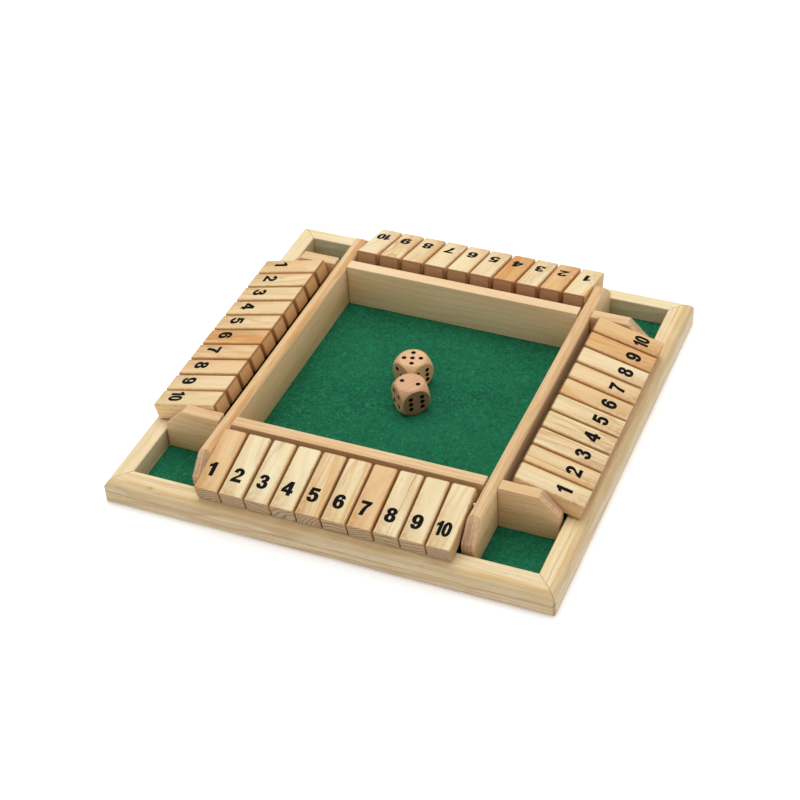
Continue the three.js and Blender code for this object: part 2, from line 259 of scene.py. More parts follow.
def pine_finish(
    name, pale, line, seed, heart, ring, figure, runout, along=0, end=END_GRAIN, rings_at_end=0.6,
    far_tint=UNTINTED, end_streaks=0.0, knots=(), bands=(), edge_wear_and_shade=0.45, side_shade_tint=UNTINTED,
):
    """Wood sawn from a round log: growth rings round a heart line that runs beside the piece.

    The heart's place is in millimetres across the grain, the rings' spacing in millimetres, and the
    runout in degrees between the heart line and the piece. The grain runs along axis 0 or 1. The far
    tint is for a tile's inner end, and the end streaks are for walls, whose slanted ends show long
    dark lines. A band is a direction, its middle's place along that, its width, its strength and, if
    it runs aslant, how far it moves per millimetre. A knot is a place, a size and how many times
    longer it is along the grain.
    """
    bench = Bench(name)
    plain = bench.place()
    grain = bench.place(
        rotation=(0.0, math.radians(runout[0]), math.radians(90.0) * along + math.radians(runout[1])),
        location=(seed * 37.0, heart[0], heart[1]),
    )
    # The rings wander slowly along the log, and are dark in their late wood
    warped = bench.wander(grain, (0.0, 13.0, 13.0), (0.011, 0.045, 0.045), 2.0, 0.45)
    waver = bench.spread(bench.noise(warped, (0.004, 0.12, 0.12)), 0.0, 1.0, -0.5, 0.5)
    phase = bench.math("FRACT", bench.math("ADD", bench.math("DIVIDE", bench.radius(warped), ring), waver))
    late = bench.times(
        bench.spread(phase, 0.42, 0.9, kind="SMOOTHSTEP"), bench.spread(phase, 0.93, 1.0, 1.0, 0.0),
    )
    depth = bench.spread(bench.noise(grain, (0.006, 0.09, 0.09), 1.0), 0.3, 0.7, 0.35, 1.0)
    # Clouds of tan, long thin fibres and short dark strokes
    fibre = bench.noise(grain, (0.05, 2.4, 2.4), 3.0, 0.6)
    stroke = bench.spread(bench.noise(grain, (0.10, 1.5, 1.5)), 0.64, 0.72)
    dark = tinted(line, *DARK_LINE)
    cloud = bench.noise(grain, (0.014, 0.10, 0.10))
    body = bench.stain(pale, tinted(pale, *TAN_CLOUD), cloud, 0.35, 0.68, 0.25 + 0.5 * figure)
    body = bench.mix(bench.times(late, depth, figure), body, line)
    body = bench.stain(body, line, fibre, 0.4, 0.75, 0.28 * (0.4 + figure))
    body = bench.mix(bench.times(stroke, 0.75 * figure), body, dark)
    # Warm bands and single dark lines, which wander and fade along the grain
    drift = bench.math(
        "ADD", bench.spread(bench.noise(grain, (0.035, 0.2, 0.2)), 0.0, 1.0, -1.3, 1.3),
        bench.spread(fibre, 0.0, 1.0, -0.35, 0.35),
    )
    fade = bench.spread(bench.noise(grain, (0.05, 0.3, 0.3), 1.0), 0.3, 0.55, 0.45, 1.0)
    for direction, middle, width, strength, *slant in bands:
        across, up = ACROSS[direction]
        aim = [across, across, up]
        aim[along] = slant[0] if slant else 0.0
        at = bench.math("ADD", bench.vector("DOT_PRODUCT", plain, aim), drift)
        reach = bench.math("ABSOLUTE", bench.math("SUBTRACT", at, middle))
        mask = bench.spread(reach, width * 0.3, width * 0.62, strength, 0.0, "SMOOTHSTEP")
        tint = dark if width < LINE_WIDTH else tinted(pale, *WARM_BAND)
        body = bench.mix(bench.times(mask, fade), body, tint)
    speckle = bench.noise(grain, (0.7, 2.0, 2.0), 3.0, 0.65)
    body = bench.stain(body, tinted(pale, 0.62), speckle, 0.38, 0.68, 0.16)
    # Painted shade and light: the long sides are multiplied by a tint that darkens them where they stand in
    # shade, as in the gaps between tiles, or makes them paler
    facing = bench.facing()
    side_shade = bench.spread(bench.math("ABSOLUTE", facing[1 - along]), 0.5, 0.9)
    body = bench.shade(body, side_shade, side_shade_tint)
    # End grain drinks the light: darker and browner, with its rings as arcs and dark pores
    ahead = facing[along]
    cut = bench.spread(bench.math("ABSOLUTE", ahead), 0.3, 0.7, 0.0, 0.92)
    pores = bench.noise(grain, (0.4, 2.6, 2.6), 2.0, 0.7)
    ends = bench.mix(bench.times(late, rings_at_end), tinted(end, 1.3), tinted(end, 0.42))
    ends = bench.stain(ends, tinted(end, 0.6), pores, 0.4, 0.75, 0.55)
    ends = bench.stain(ends, tinted(end, 0.35), bench.noise(grain, (0.3, 1.1, 1.1), 1.0), 0.63, 0.70, 0.6)
    if along == 1:
        ends = bench.stain(ends, tinted(end, *far_tint), ahead, 0.2, 0.6, 0.85)
    streaks = bench.noise(plain, (0.03, 0.8, 0.03))
    ends = bench.stain(ends, tinted(end, 0.55), streaks, 0.4, 0.6, end_streaks)
    body = bench.mix(cut, body, ends)
    # Handled edges pick up a little tone; on the tiles the tone is strong and also paints the shade of their
    # rounded edges where they turn into the gaps
    worn = bench.worn()
    patchy = bench.spread(bench.noise(grain, 0.35, 3.0, 0.6), 0.4, 0.65, 0.3, 1.0)
    body = bench.mix(bench.times(worn, patchy, edge_wear_and_shade), body, tinted(pale, *HANDLED_AND_SHADED))
    if along == 1:
        body = bench.mix(bench.times(worn, bench.spread(ahead, 0.2, 0.5, 0.0, 0.7)), body, INNER_RIM)
    for *spot, size, stretch in knots:
        squeeze = [1.0, 1.0, 1.0]
        squeeze[along] = 1 / stretch
        reach = bench.vector("LENGTH", bench.vector("MULTIPLY", bench.vector("SUBTRACT", plain, spot), squeeze))
        reach = bench.math("ADD", reach, bench.times(bench.noise(grain, 0.8), 1.5))
        body = bench.mix(bench.spread(reach, size * 0.4, size * 1.3, 0.75, 0.0), body, dark)
    rough = bench.math("ADD", bench.spread(fibre, 0.3, 0.7, 0.52, 0.66), bench.times(cut, 0.15))
    ridges = bench.math("ADD", bench.times(fibre, 0.6), bench.times(late, 0.4))
    normal = bench.bump(pores, 0.08, 0.35, under=bench.bump(ridges, 0.06, 0.7))
    return bench.done(base_color=body, roughness=rough, normal=normal, specular_ior_level=0.35)


def felt_finish(green):
    """Pressed wool: matted fibres, clumps a few millimetres wide, and a few pale specks of lint."""
    bench = Bench("felt")
    place = bench.place()
    swirl = bench.wander(place, (9.0, 9.0, 0.0), 0.22, 3.0)
    strands = bench.noise(swirl, (0.25, 1.5, 1.0), 3.0, 0.65, 0.8)
    crossing = bench.noise(swirl, (1.5, 0.25, 1.0), 3.0, 0.65, 0.8)
    matted = bench.math("MAXIMUM", strands, crossing)
    clump = bench.noise(place, 0.75, 3.0, 0.65)
    mottle = bench.noise(place, 0.13, 3.0, 0.6)
    body = tinted(green, 0.5)
    # Each stain is paler or darker than the green by its first number
    for share, value, low, high, strength in (
        (1.9, matted, 0.46, 0.72, 1.0), (0.45, clump, 0.48, 0.64, 0.7), (1.8, clump, 0.46, 0.32, 0.5),
        (0.6, mottle, 0.35, 0.65, 0.35), (1.3, bench.noise(place, 0.02), 0.35, 0.65, 0.3),
    ):
        body = bench.stain(body, tinted(green, share), value, low, high, strength)
    speck = bench.node("ShaderNodeTexVoronoi", {"Vector": place, "Scale": 0.055}).outputs["Distance"]
    lint = bench.times(bench.spread(speck, 0.012, 0.03, 1.0, 0.0), bench.spread(strands, 0.42, 0.5))
    body = bench.mix(bench.times(lint, 0.6), body, (0.42, 0.5, 0.40))
    return bench.done(
        base_color=body, roughness=bench.spread(matted, 0.3, 0.8, 1.0, 0.9), sheen_weight=0.06,
        sheen_roughness=0.5, specular_ior_level=0.06,
        normal=bench.bump(bench.math("ADD", matted, bench.times(clump, 0.8)), 0.6, 0.9),
    )


def beech_finish(name, wood, shade, seed):
    """Fine even hardwood: faint rings, tight pores and short flecks, and end grain darker by the shade."""
    bench = Bench(name)
    grain = bench.place(rotation=(0.1, 0.15, 0.0), location=(seed, 14.0, 9.0))
    radius = bench.math("ADD", bench.radius(grain), bench.noise(grain, (0.05, 0.2, 0.2)))
    phase = bench.math("FRACT", bench.math("DIVIDE", radius, 2.1))
    pores = bench.noise(grain, (0.35, 3.6, 3.6), 2.0, 0.7)
    fleck = bench.spread(bench.noise(grain, (0.8, 2.4, 2.4), 1.0), 0.6, 0.7)
    dark = tinted(wood, *DARK_LINE)
    body = bench.mix(bench.spread(phase, 0.5, 1.0, 0.0, 0.35, "SMOOTHSTEP"), wood, dark)
    body = bench.stain(body, dark, pores, 0.35, 0.75, 0.4)
    body = bench.mix(bench.times(fleck, 0.45), body, dark)
    body = bench.stain(body, tinted(wood, 1.2), bench.noise(grain, 0.12), 0.3, 0.7, 0.3)
    body = bench.mix(bench.times(bench.worn(), 0.35), body, tinted(wood, 0.55))
    body = bench.shade(body, bench.spread(bench.math("ABSOLUTE", bench.facing()[1]), 0.86, 0.97), (shade,) * 3)
    return bench.done(base_color=body, **bench.texture(pores, 0.42, 0.56, 0.07, 0.6))


def ink_finish(name, black):
    """Thick paint that has soaked a little into the grain."""
    bench = Bench(name)
    grit = bench.noise(bench.place(), 1.6, 3.0, 0.6)
    body = bench.stain(black, (0.009, 0.007, 0.006), grit, 0.45, 0.75, 0.6)
    return bench.done(base_color=body, specular_ior_level=0.04, **bench.texture(grit, 0.45, 0.7, 0.04, 0.5))


def steel_finish():
    """Drawn wire: bright, with fine marks along it."""
    bench = Bench("steel")
    drawn = bench.noise(bench.place(scale=(40.0, 40.0, 2500.0)), 1.0, 3.0, 0.6)
    tarnish = bench.noise(bench.place(scale=(300.0, 300.0, 300.0)))
    body = bench.stain((0.78, 0.78, 0.77), (0.55, 0.53, 0.50), tarnish, 0.4, 0.7, 0.5)
    return bench.done(base_color=body, metallic=1.0, **bench.texture(drawn, 0.22, 0.4, 0.02, 0.5))


def plywood_finish(thickness):
    """Thin plywood: pale faces, and three plies that show at the edge."""
    bench = Bench("plywood")
    place = bench.place()
    thick = thickness / MM
    middle = bench.math("ABSOLUTE", bench.math("SUBTRACT", bench.axes(place)[2], thick / 2))
    core = bench.spread(middle, thick * 0.17, thick * 0.19, 1.0, 0.0)
    streak = bench.noise(place, (0.02, 0.9, 1.5), 4.0, 0.6)
    pores = bench.noise(place, (0.25, 3.0, 1.0), 2.0, 0.7)
    body = bench.stain((0.72, 0.55, 0.34), (0.55, 0.37, 0.19), streak, 0.3, 0.7, 0.6)
    body = bench.stain(body, (0.36, 0.22, 0.11), pores, 0.55, 0.75, 0.5)
    body = bench.mix(bench.times(core, 0.55), body, (0.33, 0.20, 0.10))
    return bench.done(base_color=body, **bench.texture(pores, 0.6, 0.75, 0.06, 0.5))


def floor_finish():
    """A white ground that glows a little, as a light table does."""
    bench = Bench("studio_floor")
    cloud = bench.noise(bench.place(scale=(3.0, 3.0, 3.0)))
    return bench.done(
        base_color=bench.stain((0.95, 0.95, 0.95), (0.97, 0.97, 0.97), cloud, 0.3, 0.7), roughness=0.9,
        specular_ior_level=0.1, emission_color=(1.0, 1.0, 1.0, 1.0), emission_strength=0.2,
    )


# Shapes

def loft(rings, name):
    """Mesh data with a skin over the rings of points and a cap at each end."""
    work = bmesh.new()
    loops = [[work.verts.new(point) for point in ring] for ring in rings]
    for lower, upper in zip(loops, loops[1:]):
        skin(work, lower, upper)
    work.faces.new(reversed(loops[0]))
    work.faces.new(loops[-1])
    return mesh_from(work, name)


def skin(work, lower, upper):
    count = len(lower)
    for i in range(count):
        j = (i + 1) % count
        work.faces.new((lower[i], lower[j], upper[j], upper[i]))


def mesh_from(work, name, crease=CREASE):
    """Turns mesh work into mesh data, smooth except at edges sharper than the crease angle."""
    bmesh.ops.recalc_face_normals(work, faces=work.faces)
    data = bpy.data.meshes.new(name)
    work.to_mesh(data)
    work.free()
    data.shade_smooth()
    data.set_sharp_from_angle(angle=math.radians(crease))
    return data


def put_piece(name, data, matrix, body, finish=None, node=None):
    """Sets a piece in place on its body, where it stands for its CAD node if it has one."""
    piece = bpy.data.objects.new(name, data)
    bpy.context.scene.collection.objects.link(piece)
    piece.matrix_world = matrix
    if finish:
        data.materials.append(finish)
    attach(piece, body)
    if node:
        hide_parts(node)
    return piece


def quarter_turn(quarter):
    return Matrix.Rotation(quarter * math.pi / 2, 4, "Z")


def arc_points(centre_x, centre_y, radius, start, end, steps):
    points = []
    for i in range(steps + 1):
        a = math.radians(start + (end - start) * i / steps)
        points.append((centre_x + radius * math.cos(a), centre_y + radius * math.sin(a)))
    return points


def wear_edges(data, limit=20.0):
    """Marks the vertices of rounded edges, where hands rub and where the tiles take painted shade, for the
    materials to use.
    """
    work = bmesh.new()
    work.from_mesh(data)
    values = []
    for vertex in work.verts:
        bends = [edge.calc_face_angle(0.0) for edge in vertex.link_edges]
        values.append(1.0 if max(bends, default=0.0) > math.radians(limit) else 0.0)
    work.free()
    layer = data.attributes.new("worn", "FLOAT", "POINT")
    layer.data.foreach_set("value", values)


def rail_outline(sizes, half, height, base_top):
    """Distance out from the tray's middle, and height, round a rail's section."""
    edge = half - sizes.rail_width
    rebate = edge + sizes.rebate_depth
    small, foot, large = sizes.rail_edge_break, sizes.rail_foot_round, sizes.rail_round
    return [
        (edge, base_top),
        (rebate, base_top),
        (rebate, 0.0),
        *arc_points(half - foot, foot, foot, -90, 0, 4),
        *arc_points(half - large, height - large, large, 0, 90, 14),
        *arc_points(edge + small, height - small, small, 90, 180, 4),
    ]


def rail_mesh(sizes, half, height, base_top):
    """A rail along X whose ends are cut on the mitre and rolled round the tray's corners."""
    centre = half - sizes.corner_round
    # How far from each end its outline changes, and in how many steps
    reach, steps = sizes.corner_round * 1.4, 5
    rings = []
    shares = [(-1, k / steps) for k in range(steps, -1, -1)] + [(1, k / steps) for k in range(steps + 1)]
    for sign, share in shares:
        ring = []
        for out, up in rail_outline(sizes, half, height, base_top):
            end = out - sizes.mitre_gap / math.sqrt(2)
            x, y = end - (1 - share) * reach, out
            away = Vector((x - centre, y - centre))
            if away.x > 0 and away.y > 0 and away.length > sizes.corner_round:
                away *= sizes.corner_round / away.length
                x, y = centre + away.x, centre + away.y
            ring.append((sign * x, -y, up))
        rings.append(ring)
    return loft(rings, "rail")


def wall_mesh(name, span, open_ends, sizes, bottom, top, thickness, crown):
    """A wall along X with rounded top edges; an open end is chamfered down from the top."""
    half = thickness / 2
    knee = top - sizes.wall_chamfer
    section = [
        (-half, bottom), (half, bottom), (half, knee),
        *arc_points(half - crown, top - crown, crown, 0, 90, 8),
        *arc_points(crown - half, top - crown, crown, 90, 180, 8),
        (-half, knee),
    ]
    work = bmesh.new()
    ends = []
    for x, sign, is_open in zip(span, (1, -1), open_ends):
        ends.append([
            work.verts.new((x + sign * (max(0.0, z - knee) if is_open else 0.0), y, z)) for y, z in section
        ])
    skin(work, *ends)
    for ring in ends:
        # The lower part of an end stands upright, and the part above the knee may slant
        work.faces.new((ring[0], ring[1], ring[2], ring[-1]))
        work.faces.new(ring[2:])
    bmesh.ops.recalc_face_normals(work, faces=work.faces)
    sharp = [edge for edge in work.edges if edge.calc_face_angle(0.0) > math.radians(30)]
    bmesh.ops.bevel(
        work, geom=sharp, offset=sizes.wall_arris, segments=2, profile=0.5, affect="EDGES", clamp_overlap=True,
    )
    return mesh_from(work, name)


def tile_mesh(sizes):
    """A tile about its rod: X across the row, -Y to its outer end and +Z to its face."""
    inner, outer = sizes.tile_tail, sizes.tile_length - sizes.tile_tail
    width = sizes.tile_width / 2
    face = sizes.tile_thickness / 2
    edge = sizes.tile_edge
    steps = 4
    heights = arc_points(edge, edge - face, edge, 270, 180, steps)
    heights += [(inset, -z) for inset, z in reversed(heights)]
    rings = []
    for inset, z in heights:
        ring = []
        for x_sign, y, radius, start in (
            (1, inner, sizes.tile_inner_corner, 0), (-1, inner, sizes.tile_inner_corner, 90),
            (-1, -outer, sizes.tile_outer_corner, 180), (1, -outer, sizes.tile_outer_corner, 270),
        ):
            y_sign = 1 if y > 0 else -1
            # The outer end keeps crisper edges than the long sides and the inner end
            draw = inset * (sizes.tile_end_edge / edge if y < 0 else 1.0)
            spare = max(0.0, inset - radius)
            left = max(radius - inset, 0.02 * MM)
            centre_x = x_sign * (width - radius - spare)
            centre_y = y - y_sign * (radius + spare)
            for px, py in arc_points(0, 0, left, start, start + 90, steps):
                ring.append((centre_x + px, centre_y + py + y_sign * (inset - draw) * abs(py) / left, z))
        rings.append(ring)
    bore = bmesh.new()
    bmesh.ops.create_cone(
        bore, cap_ends=True, segments=28, radius1=sizes.tile_bore, radius2=sizes.tile_bore,
        depth=sizes.tile_width * 1.5, matrix=Matrix.Rotation(math.pi / 2, 4, "Y"),
    )
    return drilled(loft(rings, "tile"), bore, "tile")


def mesh_of(item):
    """New mesh data of an object as its modifiers or its curve make it; the object is removed."""
    bpy.context.view_layer.update()
    data = bpy.data.meshes.new_from_object(item.evaluated_get(bpy.context.evaluated_depsgraph_get()))
    bpy.data.objects.remove(item)
    return data


def drilled(data, cutter_work, name, materials=()):
    """The mesh with the cutter's shape taken out of it; the materials are for the skin and the cut."""
    cutter_data = bpy.data.meshes.new("cutter")
    cutter_work.to_mesh(cutter_data)
    cutter_work.free()
    for material in materials:
        data.materials.append(material)
        cutter_data.materials.append(material)
    blank = bpy.data.objects.new(name, data)
    cutter = bpy.data.objects.new("cutter", cutter_data)
    for item in (blank, cutter):
        bpy.context.scene.collection.objects.link(item)
    change = blank.modifiers.new("drill", "BOOLEAN")
    change.operation = "DIFFERENCE"
    change.solver = "EXACT"
    change.object = cutter
    change.material_mode = "TRANSFER"
    made = mesh_of(blank)
    bpy.data.objects.remove(cutter)
    made.name = name
    if not materials:
        made.materials.clear()
    made.set_sharp_from_angle(angle=math.radians(CREASE))
    return made


# Outlines of the figures in thousandths of their height, where (x, y) is smooth and (x, y, 1) a corner
FIGURES = {
    "0": (
        ((320, 1000), (545, 860), (612, 500), (545, 140), (320, 0), (95, 140), (28, 500), (95, 860)),
        ((320, 848), (250, 760), (222, 500), (250, 240), (320, 152), (390, 240), (418, 500), (390, 760)),
    ),
    "1": (
        ((222, 0, 1), (418, 0, 1), (418, 1000, 1), (262, 1000, 1), (180, 876), (40, 800, 1), (40, 632, 1),
         (222, 722, 1)),
    ),
    "2": (
        ((45, 695, 1), (120, 910), (322, 1000), (525, 922), (602, 728), (548, 548), (400, 385), (285, 270),
         (235, 188, 1), (606, 188, 1), (606, 0, 1), (18, 0, 1), (66, 160), (210, 335), (355, 490),
         (405, 600), (408, 700), (385, 805), (318, 845), (258, 805), (240, 676, 1)),
    ),
    "3": (
        ((48, 728, 1), (120, 920), (312, 1000), (512, 926), (582, 752), (540, 620), (458, 545, 1),
         (565, 462), (610, 300), (530, 84), (312, 0), (108, 76), (28, 280, 1), (222, 300, 1), (252, 190),
         (316, 152), (390, 192), (418, 305), (385, 420), (312, 462), (238, 450, 1), (256, 598, 1),
         (345, 636), (386, 735), (362, 815), (306, 846), (248, 810), (228, 712, 1)),
    ),
    "4": (
        ((352, 0, 1), (352, 212, 1), (8, 212, 1), (8, 385, 1), (335, 1000, 1), (538, 1000, 1),
         (538, 378, 1), (632, 378, 1), (632, 212, 1), (538, 212, 1), (538, 0, 1)),
        ((352, 378, 1), (172, 378, 1), (352, 716, 1)),
    ),
    "5": (
        ((108, 1000, 1), (572, 1000, 1), (572, 824, 1), (252, 824, 1), (228, 655, 1), (335, 688),
         (535, 598), (612, 345), (545, 110), (315, 0), (112, 74), (28, 262, 1), (224, 284, 1), (258, 186),
         (318, 150), (390, 200), (418, 340), (388, 478), (310, 530), (246, 508), (200, 455, 1),
         (40, 480, 1)),
    ),
    "6": (
        ((592, 752, 1), (524, 932), (344, 1000), (122, 898), (28, 490), (104, 110), (326, 0), (532, 94),
         (612, 335), (545, 560), (368, 655), (216, 578, 1), (250, 790), (332, 848), (382, 815),
         (402, 732, 1)),
        ((325, 508), (250, 452), (226, 336), (258, 205), (332, 152), (394, 200), (418, 328), (392, 458)),
    ),
    "7": (
        ((38, 1000, 1), (602, 1000, 1), (602, 858, 1), (428, 540), (338, 0, 1), (142, 0, 1), (222, 430),
         (396, 824, 1), (38, 824, 1)),
    ),
    "8": (
        ((320, 1000), (520, 930), (588, 755), (550, 632), (468, 548, 1), (570, 455), (612, 288), (535, 80),
         (320, 0), (105, 80), (28, 288), (70, 455), (172, 548, 1), (90, 632), (52, 755), (120, 930)),
        ((320, 852), (256, 818), (232, 738), (256, 656), (320, 620), (384, 656), (408, 738), (384, 818)),
        ((320, 470), (248, 425), (220, 308), (248, 192), (320, 148), (392, 192), (420, 308), (392, 425)),
    ),
}
# A nine is a six turned round
FIGURES["9"] = [[(640 - x, 1000 - y, *corner) for x, y, *corner in outline] for outline in FIGURES["6"]]
FIGURE_WIDTH = 640
# A ten is squeezed: its two figures stand closer and are narrower than a single one
SINGLE_STRETCH, TEN_STRETCH, TEN_STEP = 1.13, 0.86, 500


def number_mesh(number, sizes):
    """The flat painted figures of one number, round the origin, with their feet towards -Y."""
    curve = bpy.data.curves.new(f"figures_{number}", "CURVE")
    curve.dimensions = "2D"
    curve.fill_mode = "BOTH"
    curve.resolution_u = 6
    curve.offset = sizes.number_bold
    curve.extrude = sizes.number_lift / 2
    scale = sizes.number_height / 1000
    text = str(number)
    stretch = SINGLE_STRETCH if len(text) == 1 else TEN_STRETCH
    for place, figure in enumerate(text):
        shift = (place - (len(text) - 1) / 2) * TEN_STEP - FIGURE_WIDTH / 2
        for outline in FIGURES[figure]:
            spline = curve.splines.new("BEZIER")
            spline.bezier_points.add(len(outline) - 1)
            spline.use_cyclic_u = True
            for point, (x, y, *corner) in zip(spline.bezier_points, outline):
                point.co = ((x + shift) * scale * stretch, (y - 500) * scale, 0)
                point.handle_left_type = point.handle_right_type = "VECTOR" if corner else "AUTO"
    shape = bpy.data.objects.new("figures", curve)
    bpy.context.scene.collection.objects.link(shape)
    data = mesh_of(shape)
    data.name = f"number_{number:02d}"
    return data


# Where a die's spots stand in its face, in steps of the pitch
SPOTS = {
    1: ((0, 0),),
    2: ((-1, -1), (1, 1)),
    3: ((-1, -1), (0, 0), (1, 1)),
    4: ((-1, -1), (-1, 1), (1, -1), (1, 1)),
    5: ((-1, -1), (-1, 1), (0, 0), (1, -1), (1, 1)),
    6: ((-1, -1), (-1, 0), (-1, 1), (1, -1), (1, 0), (1, 1)),
}
# How many cells each face of a die has along an edge, and how strongly they crowd towards its edges
DIE_CELLS, DIE_CROWDING = 22, 0.8


def die_mesh(sizes, faces, name, wood, ink):
    """A die whose corners are turned off by a ball. Each face gives its outward axis, the axis its
    spots count as upwards, and its number."""
    half, ball, edge = sizes.die_side / 2, sizes.die_ball / 2, sizes.die_edge
    work = bmesh.new()
    bmesh.ops.create_cube(work, size=2.0)
    bmesh.ops.subdivide_edges(work, edges=work.edges, cuts=DIE_CELLS - 1, use_grid_fill=True)
    for vertex in work.verts:
        place = Vector([
            math.copysign(math.sin(abs(c) * math.pi / 2) ** DIE_CROWDING, c) if c else 0.0 for c in vertex.co
        ]) * half
        core = Vector([max(-half + edge, min(half - edge, c)) for c in place])
        away = place - core
        if away.length > 0:
            place = core + away.normalized() * edge
        if place.length > ball:
            place = place.normalized() * ball
        vertex.co = place
    spots = bmesh.new()
    radius = ((sizes.pip_diameter / 2) ** 2 + sizes.pip_depth ** 2) / (2 * sizes.pip_depth)
    for outward, upward, count in faces:
        sideways = upward.cross(outward)
        for u, v in SPOTS[count]:
            centre = outward * (half - sizes.pip_depth + radius) + (sideways * u + upward * v) * sizes.pip_pitch
            bmesh.ops.create_uvsphere(
                spots, u_segments=32, v_segments=24, radius=radius, matrix=Matrix.Translation(centre),
            )
    for face in spots.faces:
        face.material_index = 1
    return drilled(mesh_from(work, name, 30), spots, name, (wood, ink))


# Operators

def sizes_of(context):
    return context.scene.shut_box_sizes


def colours_of(context):
    return context.scene.shut_box_colours


# The floor reaches far past the picture and lies just below the base
FLOOR_SIDE, FLOOR_DROP = 40.0, 0.2 * MM
ROOM_LIGHT = 0.54
# Each light's name, its place and side in metres, its power in watts and its tint
LIGHTS = (
    ("overhead_softbox", (-0.15, 0.35, 1.5), 1.5, 18.0, (1.0, 1.0, 1.0)),
    ("side_softbox", (1.6, 0.1, 0.9), 1.2, 2.0, (0.8, 0.92, 1.0)),
    ("front_softbox", (-1.0, -1.3, 0.55), 1.0, 1.0, (0.6, 0.85, 1.0)),
)
# The photograph's camera: pixels, degrees and millimetres
PICTURE_SIDE = 800
FOCAL_LENGTH = 1800.263
PRINCIPAL_POINT = (459.499, 408.133)
AZIMUTH, ELEVATION, ROLL = 22.721, 40.168, -2.3218
TARGET, DISTANCE = (30.489, 0.151, 6.923), 1125.091


class SHUTBOX_OT_stage(bpy.types.Operator):
    """Lays the floor, hangs the lights and sets up the camera"""

    bl_idname = "shutbox.make_stage"
    bl_label = "Stage"

    def execute(self, context):
        scene = context.scene
        scene.view_settings.view_transform = "Standard"
        bpy.ops.mesh.primitive_plane_add(size=FLOOR_SIDE, location=(0, 0, -FLOOR_DROP))
        floor = context.object
        floor.name = "studio_floor"
        floor.data.materials.append(floor_finish())
        world = bpy.data.worlds.new("soft_room")
        world.use_nodes = True
        scene.world = world
        background = world.node_tree.nodes["Background"]
        background.inputs["Color"].default_value = (1.0, 1.0, 1.0, 1.0)
        background.inputs["Strength"].default_value = ROOM_LIGHT
        for name, place, side, watts, tint in LIGHTS:
            lamp = bpy.data.lights.new(name, "AREA")
            lamp.shape = "SQUARE"
            lamp.size = side
            lamp.energy = watts
            lamp.color = tint
            holder = bpy.data.objects.new(name, lamp)
            holder.location = place
            holder.rotation_mode = "QUATERNION"
            holder.rotation_quaternion = (-Vector(place)).to_track_quat("-Z", "Y")
            scene.collection.objects.link(holder)
        self.camera(scene)
        return {"FINISHED"}

    def camera(self, scene):
        """The photograph's viewpoint."""
        data = bpy.data.cameras.new("photo_camera")
        data.sensor_width = 36.0
        data.lens = FOCAL_LENGTH * data.sensor_width / PICTURE_SIDE
        data.shift_x = (PICTURE_SIDE / 2 - PRINCIPAL_POINT[0]) / PICTURE_SIDE
        data.shift_y = (PRINCIPAL_POINT[1] - PICTURE_SIDE / 2) / PICTURE_SIDE
        data.clip_start = 0.05
        data.clip_end = FLOOR_SIDE * 1.5
        camera = bpy.data.objects.new("photo_camera", data)
        matrix = Matrix.Translation(Vector(TARGET) * MM)
        for degrees, axis in ((AZIMUTH, "Z"), (90 - ELEVATION, "X"), (ROLL, "Z")):
            matrix @= Matrix.Rotation(math.radians(degrees), 4, axis)
        camera.matrix_world = matrix @ Matrix.Translation((0, 0, DISTANCE * MM))
        scene.collection.objects.link(camera)
        scene.camera = camera


class SHUTBOX_OT_base(bpy.types.Operator):
    """Gives the base board and the rods their finishes"""

    bl_idname = "shutbox.finish_base_and_rods"
    bl_label = "Base and rods"

    def execute(self, context):
        low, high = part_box("base_board")
        self.dress("base_board", plywood_finish(high.z - low.z), "plywood")
        steel = steel_finish()
        for side in SIDES:
            rod = self.dress(f"rod_{side}", steel, "steel")
            rod.data.shade_smooth()
            rod.data.set_sharp_from_angle(angle=math.radians(CREASE))
        return {"FINISHED"}

    def dress(self, node, finish, slot):
        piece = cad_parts[node]
        piece.data.materials.clear()
        piece.data.materials.append(finish)
        return piece


# How many cells the felt's mesh has along a side
FELT_CELLS = 90
# How far the felt's edge strays and is pressed down, and how uneven its top is
FELT_STRAY, FELT_PRESSED, FELT_UNEVEN = 0.25 * MM, 0.25 * MM, 0.12 * MM
# How many times per metre the noise changes along the felt's edge and over its top
EDGE_NOISE, TOP_NOISE = 180, 70


class SHUTBOX_OT_felt(bpy.types.Operator):
    """Lays the felt over the whole base"""

    bl_idname = "shutbox.lay_felt"
    bl_label = "Felt"

    def execute(self, context):
        low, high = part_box("felt_sheet")
        side = high.x - low.x
        work = bmesh.new()
        count = FELT_CELLS + 1
        tops, bottoms = [], []
        for i in range(count):
            for j in range(count):
                x, y = low.x + side * i / FELT_CELLS, low.y + side * j / FELT_CELLS
                at_edge = min(i, j, FELT_CELLS - i, FELT_CELLS - j) == 0
                if at_edge:
                    x += FELT_STRAY * noise.noise(Vector((x, y, 0)) * EDGE_NOISE)
                    y += FELT_STRAY * noise.noise(Vector((y, x, 9)) * EDGE_NOISE)
                drop = FELT_UNEVEN * (1 + noise.noise(Vector((x, y, 4)) * TOP_NOISE)) + FELT_PRESSED * at_edge
                tops.append(work.verts.new((x, y, high.z - drop)))
                bottoms.append(work.verts.new((x, y, low.z)))
        for i in range(FELT_CELLS):
            for j in range(FELT_CELLS):
                a, b = i * count + j, (i + 1) * count + j
                work.faces.new((tops[a], tops[b], tops[b + 1], tops[a + 1]))
                work.faces.new((bottoms[a + 1], bottoms[b + 1], bottoms[b], bottoms[a]))
        # The rim, along its four sides
        total = count * count
        for line in (
            range(0, total, count), range(FELT_CELLS, total, count), range(count), range(total - count, total),
        ):
            for a, b in zip(line, line[1:]):
                work.faces.new((tops[a], tops[b], bottoms[b], bottoms[a]))
        data = mesh_from(work, "felt_cloth", 60)
        finish = felt_finish(colours_of(context).felt)
        cloth = put_piece("felt_cloth", data, Matrix.Identity(4), "tray", finish, "felt_sheet")
        return {"FINISHED"}


# Painted shade: the grey-blue tint that darkens a rail's long sides
RAIL_SIDE_SHADE = (0.84, 0.86, 0.94)
